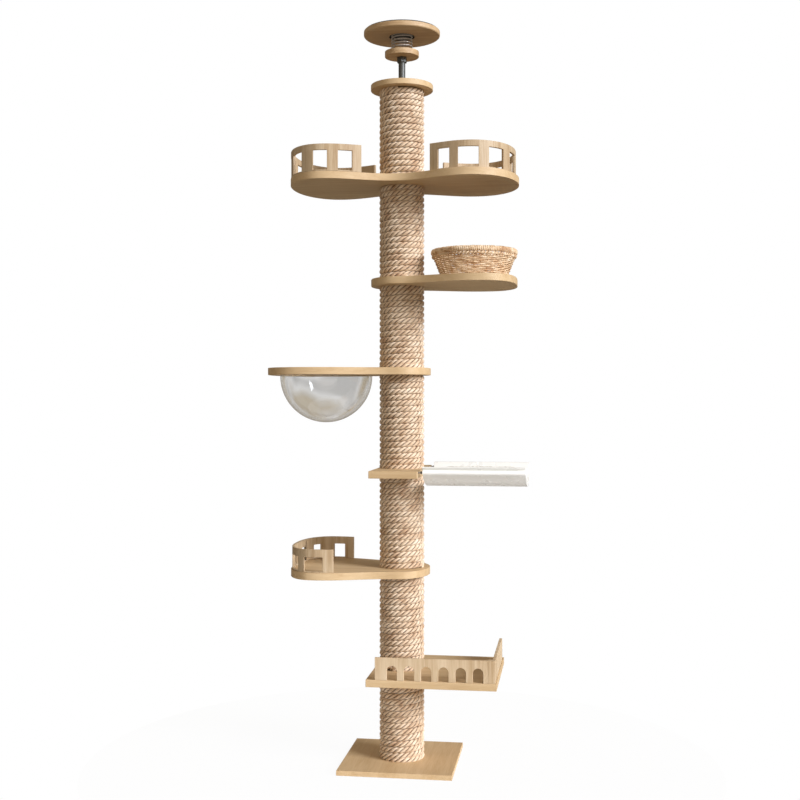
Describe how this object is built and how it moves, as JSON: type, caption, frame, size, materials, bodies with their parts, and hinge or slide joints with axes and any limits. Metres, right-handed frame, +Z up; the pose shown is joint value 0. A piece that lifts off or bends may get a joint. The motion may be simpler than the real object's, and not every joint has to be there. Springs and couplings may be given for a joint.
{
  "type": "cat tree",
  "caption": "Floor-to-ceiling cat tree: rope-wrapped column with side boards, railings, a clear bowl, a wicker basket, a clear hammock trough and a sprung screw jack at the top.",
  "frame": {"origin": "on the floor under the base plate, on the column's axis", "axes": "+Z up along the column; -Y is the front, where the tray's arcaded fence is; +X is the tray, basket and hammock side"},
  "size_m": [0.8675, 0.42, 2.4455],
  "materials": {
    "wood": "clear matt lacquer on light pine board",
    "sisal": "natural three-strand sisal rope",
    "pipe": "grey plastic pipe",
    "steel": "bright zinc-plated steel",
    "black_steel": "dark grey coated steel",
    "acrylic": "clear polished acrylic",
    "wicker": "natural split willow, woven",
    "plush": "off-white short-pile plush",
    "rubber": "matt foam rubber"
  },
  "bodies": {
    "stand": {"base_plate": "wood", "tray_board": "wood", "lookout_board": "wood", "hammock_board": "wood", "bowl_board": "wood", "basket_board": "wood", "twin_board": "wood", "top_cap": "wood", "tray_front_fence": "wood", "tray_side_fence": "wood", "lookout_fence": "wood", "twin_fence_left": "wood", "twin_fence_right": "wood", "tube_plug_1_lower": "wood", "tube_plug_1_upper": "wood", "tube_plug_2_lower": "wood", "tube_plug_2_upper": "wood", "tube_plug_3_lower": "wood", "tube_plug_3_upper": "wood", "tube_plug_4_lower": "wood", "tube_plug_4_upper": "wood", "tube_plug_5_lower": "wood", "tube_plug_5_upper": "wood", "tube_plug_6_lower": "wood", "tube_plug_6_upper": "wood", "tube_plug_7_lower": "wood", "tube_plug_7_upper": "wood", "base_stud": "steel", "tray_stud": "steel", "lookout_stud": "steel", "hammock_stud": "steel", "bowl_stud": "steel", "basket_stud": "steel", "twin_stud": "steel", "core_tube_1": "pipe", "core_tube_2": "pipe", "core_tube_3": "pipe", "core_tube_4": "pipe", "core_tube_5": "pipe", "core_tube_6": "pipe", "core_tube_7": "pipe", "sisal_sleeve_1": "sisal", "sisal_sleeve_2": "sisal", "sisal_sleeve_3": "sisal", "sisal_sleeve_4": "sisal", "sisal_sleeve_5": "sisal", "sisal_sleeve_6": "sisal", "sisal_sleeve_7": "sisal", "hammock_rod_front": "steel", "hammock_rod_back": "steel", "hammock_trough": "acrylic", "hammock_mat": "plush", "jack_insert": "steel"},
    "jack": {"spring_seat": "wood", "pressure_spring": "steel"},
    "screw": {"jack_screw": "black_steel"},
    "ceiling_plate": {"ceiling_disc": "wood", "ceiling_pad": "rubber"},
    "bowl": {"acrylic_bowl": "acrylic"},
    "basket": {"wicker_basket": "wicker"}
  },
  "joints": [
    {"name": "jack_lift", "type": "slide", "parent": "stand", "child": "jack", "axis": [0, 0, 1], "range_m": [-0.05, 0.08]},
    {"name": "screw_turn", "type": "hinge", "parent": "jack", "child": "screw", "pos_m": [0, 0, 2.3385], "axis": [0, 0, 1], "range_deg": [-3601, 5761]},
    {"name": "ceiling_press", "type": "slide", "parent": "jack", "child": "ceiling_plate", "axis": [0, 0, 1], "range_m": [-0.02, 0], "stiffness_N_per_m": 6000, "springref_m": 0.006, "deforming": ["pressure_spring"]},
    {"name": "bowl_lift", "type": "slide", "parent": "stand", "child": "bowl", "axis": [0, 0, 1], "range_m": [0, 0.19]},
    {"name": "basket_lift", "type": "slide", "parent": "stand", "child": "basket", "axis": [0, 0, 1], "range_m": [0, 0.15]}
  ],
  "couplings": [
    {"joint": "screw_turn", "follows": "jack_lift", "rad_per_m": 1256.6}
  ]
}
